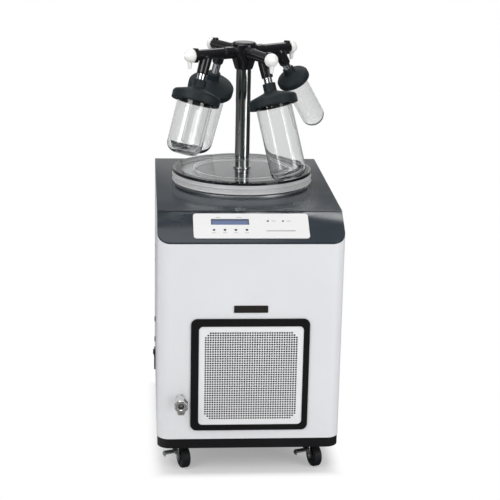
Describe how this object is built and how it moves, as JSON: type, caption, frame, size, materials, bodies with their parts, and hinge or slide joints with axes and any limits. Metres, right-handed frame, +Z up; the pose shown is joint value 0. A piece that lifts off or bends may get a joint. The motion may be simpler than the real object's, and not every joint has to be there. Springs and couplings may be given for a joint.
{
  "type": "freeze dryer",
  "caption": "Floor-standing laboratory freeze dryer: cabinet on casters, clear-lidded ice chamber on top, and a column manifold with valves and glass flasks.",
  "frame": {"origin": "middle of the bounding box on the floor, under the wheels", "axes": "+X to the operator's right, +Y from the front panel to the back, +Z up"},
  "size_m": [0.411, 0.682, 0.9127],
  "materials": {
    "white_paint": "smooth powder coat",
    "dark_grey_paint": "satin powder coat",
    "black_paint": "satin powder coat",
    "black_enamel": "gloss enamel",
    "white_plastic": "smooth moulded",
    "black_plastic": "fine moulded texture",
    "display_blue": "backlit display glass on its board",
    "stainless_steel": "fine brushed",
    "bright_metal": "bright plated",
    "fin_aluminium": "plain fins",
    "motor_steel": "dark plated",
    "dark_rubber": "matt moulded",
    "black_rubber": "satin moulded",
    "pale_rubber": "matt moulded",
    "wheel_tread": "worn matt",
    "foam": "foamed in place",
    "clear_acrylic": "clear polished acrylic",
    "clear_glass": "clear"
  },
  "bodies": {
    "cabinet": {"base_tray": "black_paint", "front_panel": "white_paint", "left_side_panel": "white_paint", "right_side_panel": "white_paint", "rear_panel": "white_paint", "top_cover": "dark_grey_paint", "grille_frame": "black_plastic", "grille_panel": "white_paint", "blank_nameplate": "black_plastic", "control_panel": "white_plastic", "control_board": "display_blue", "ice_chamber": "stainless_steel", "chamber_insulation": "foam", "chamber_gasket": "pale_rubber", "chamber_lid": "clear_acrylic", "manifold_column": "stainless_steel", "manifold_hub": "black_rubber", "valve_body_front_left": "black_rubber", "flask_adapter_front_left": "bright_metal", "flask_cap_front_left": "dark_rubber", "flask_front_left": "clear_glass", "valve_body_rear_left": "black_rubber", "flask_adapter_rear_left": "bright_metal", "flask_cap_rear_left": "dark_rubber", "flask_rear_left": "clear_glass", "valve_body_front_right": "black_rubber", "flask_adapter_front_right": "bright_metal", "flask_cap_front_right": "dark_rubber", "flask_front_right": "clear_glass", "valve_body_rear_right": "black_rubber", "flask_adapter_rear_right": "bright_metal", "flask_cap_rear_right": "dark_rubber", "flask_rear_right": "clear_glass", "drain_coupling": "bright_metal", "drain_hose": "dark_rubber", "compressor": "black_enamel", "condenser_coil": "fin_aluminium", "fan_motor": "motor_steel", "power_inlet": "black_plastic"},
    "button_1": {"button_1": "black_plastic"},
    "button_2": {"button_2": "black_plastic"},
    "button_3": {"button_3": "black_plastic"},
    "button_4": {"button_4": "black_plastic"},
    "valve_knob_front_left": {"valve_knob_front_left": "white_plastic"},
    "valve_knob_rear_left": {"valve_knob_rear_left": "white_plastic"},
    "valve_knob_front_right": {"valve_knob_front_right": "white_plastic"},
    "valve_knob_rear_right": {"valve_knob_rear_right": "white_plastic"},
    "caster_front_left": {"caster_fork_front_left": "black_enamel"},
    "wheel_front_left": {"caster_wheel_front_left": "wheel_tread"},
    "brake_pedal_front_left": {"brake_pedal_front_left": "black_plastic"},
    "caster_front_right": {"caster_fork_front_right": "black_enamel"},
    "wheel_front_right": {"caster_wheel_front_right": "wheel_tread"},
    "brake_pedal_front_right": {"brake_pedal_front_right": "black_plastic"},
    "caster_rear_left": {"caster_fork_rear_left": "black_enamel"},
    "wheel_rear_left": {"caster_wheel_rear_left": "wheel_tread"},
    "caster_rear_right": {"caster_fork_rear_right": "black_enamel"},
    "wheel_rear_right": {"caster_wheel_rear_right": "wheel_tread"},
    "drain_latch": {"drain_latch": "bright_metal"},
    "fan_rotor": {"fan_rotor": "black_plastic"},
    "power_rocker": {"power_rocker": "black_plastic"}
  },
  "joints": [
    {"name": "button_1_press", "type": "slide", "parent": "cabinet", "child": "button_1", "axis": [0, 0.4917, -0.8708], "range_m": [0, 0.0006], "stiffness_N_per_m": 400, "springref_m": -0.0002},
    {"name": "button_2_press", "type": "slide", "parent": "cabinet", "child": "button_2", "axis": [0, 0.4917, -0.8708], "range_m": [0, 0.0006], "stiffness_N_per_m": 400, "springref_m": -0.0002},
    {"name": "button_3_press", "type": "slide", "parent": "cabinet", "child": "button_3", "axis": [0, 0.4917, -0.8708], "range_m": [0, 0.0006], "stiffness_N_per_m": 400, "springref_m": -0.0002},
    {"name": "button_4_press", "type": "slide", "parent": "cabinet", "child": "button_4", "axis": [0, 0.4917, -0.8708], "range_m": [0, 0.0006], "stiffness_N_per_m": 400, "springref_m": -0.0002},
    {"name": "valve_front_left_turn", "type": "hinge", "parent": "cabinet", "child": "valve_knob_front_left", "pos_m": [-0.1256, -0.01033, 0.8902], "axis": [-0.8526, -0.5225, 0], "range_deg": [0, 180]},
    {"name": "valve_rear_left_turn", "type": "hinge", "parent": "cabinet", "child": "valve_knob_rear_left", "pos_m": [-0.06544, 0.19945, 0.8902], "axis": [-0.4462, 0.8949, 0], "range_deg": [0, 180]},
    {"name": "valve_front_right_turn", "type": "hinge", "parent": "cabinet", "child": "valve_knob_front_right", "pos_m": [0.05243, -0.07163, 0.8902], "axis": [0.3502, -0.9367, 0], "range_deg": [0, 180]},
    {"name": "valve_rear_right_turn", "type": "hinge", "parent": "cabinet", "child": "valve_knob_rear_right", "pos_m": [0.11879, 0.15607, 0.8902], "axis": [0.7986, 0.6018, 0], "range_deg": [0, 180]},
    {"name": "caster_front_left_swivel", "type": "hinge", "parent": "cabinet", "child": "caster_front_left", "pos_m": [-0.14641, -0.211, 0.07], "axis": [0, 0, 1], "continuous": true},
    {"name": "caster_front_left_roll", "type": "hinge", "parent": "caster_front_left", "child": "wheel_front_left", "pos_m": [-0.13961, -0.23192, 0.025], "axis": [0.9511, 0.309, 0], "continuous": true},
    {"name": "brake_pedal_front_left_press", "type": "hinge", "parent": "caster_front_left", "child": "brake_pedal_front_left", "pos_m": [-0.15825, -0.22957, 0.036], "axis": [-0.309, 0.9511, 0], "range_deg": [-15, 0]},
    {"name": "caster_front_right_swivel", "type": "hinge", "parent": "cabinet", "child": "caster_front_right", "pos_m": [0.1476, -0.211, 0.07], "axis": [0, 0, 1], "continuous": true},
    {"name": "caster_front_right_roll", "type": "hinge", "parent": "caster_front_right", "child": "wheel_front_right", "pos_m": [0.15439, -0.23192, 0.025], "axis": [0.9511, 0.309, 0], "continuous": true},
    {"name": "brake_pedal_front_right_press", "type": "hinge", "parent": "caster_front_right", "child": "brake_pedal_front_right", "pos_m": [0.13575, -0.22957, 0.036], "axis": [-0.309, 0.9511, 0], "range_deg": [-15, 0]},
    {"name": "caster_rear_left_swivel", "type": "hinge", "parent": "cabinet", "child": "caster_rear_left", "pos_m": [-0.14641, 0.279, 0.07], "axis": [0, 0, 1], "continuous": true},
    {"name": "caster_rear_left_roll", "type": "hinge", "parent": "caster_rear_left", "child": "wheel_rear_left", "pos_m": [-0.13961, 0.25808, 0.025], "axis": [0.9511, 0.309, 0], "continuous": true},
    {"name": "caster_rear_right_swivel", "type": "hinge", "parent": "cabinet", "child": "caster_rear_right", "pos_m": [0.1476, 0.279, 0.07], "axis": [0, 0, 1], "continuous": true},
    {"name": "caster_rear_right_roll", "type": "hinge", "parent": "caster_rear_right", "child": "wheel_rear_right", "pos_m": [0.15439, 0.25808, 0.025], "axis": [0.9511, 0.309, 0], "continuous": true},
    {"name": "drain_latch_press", "type": "slide", "parent": "cabinet", "child": "drain_latch", "axis": [0, 0, 1], "range_m": [0, 0.0015], "stiffness_N_per_m": 600, "springref_m": -0.001},
    {"name": "fan_spin", "type": "hinge", "parent": "cabinet", "child": "fan_rotor", "pos_m": [0.0006, -0.201, 0.215], "axis": [0, 1, 0], "continuous": true},
    {"name": "power_rocker_rock", "type": "hinge", "parent": "cabinet", "child": "power_rocker", "pos_m": [-0.1997, 0.089, 0.155], "axis": [0, 0, 1], "range_deg": [-14, 0]}
  ]
}
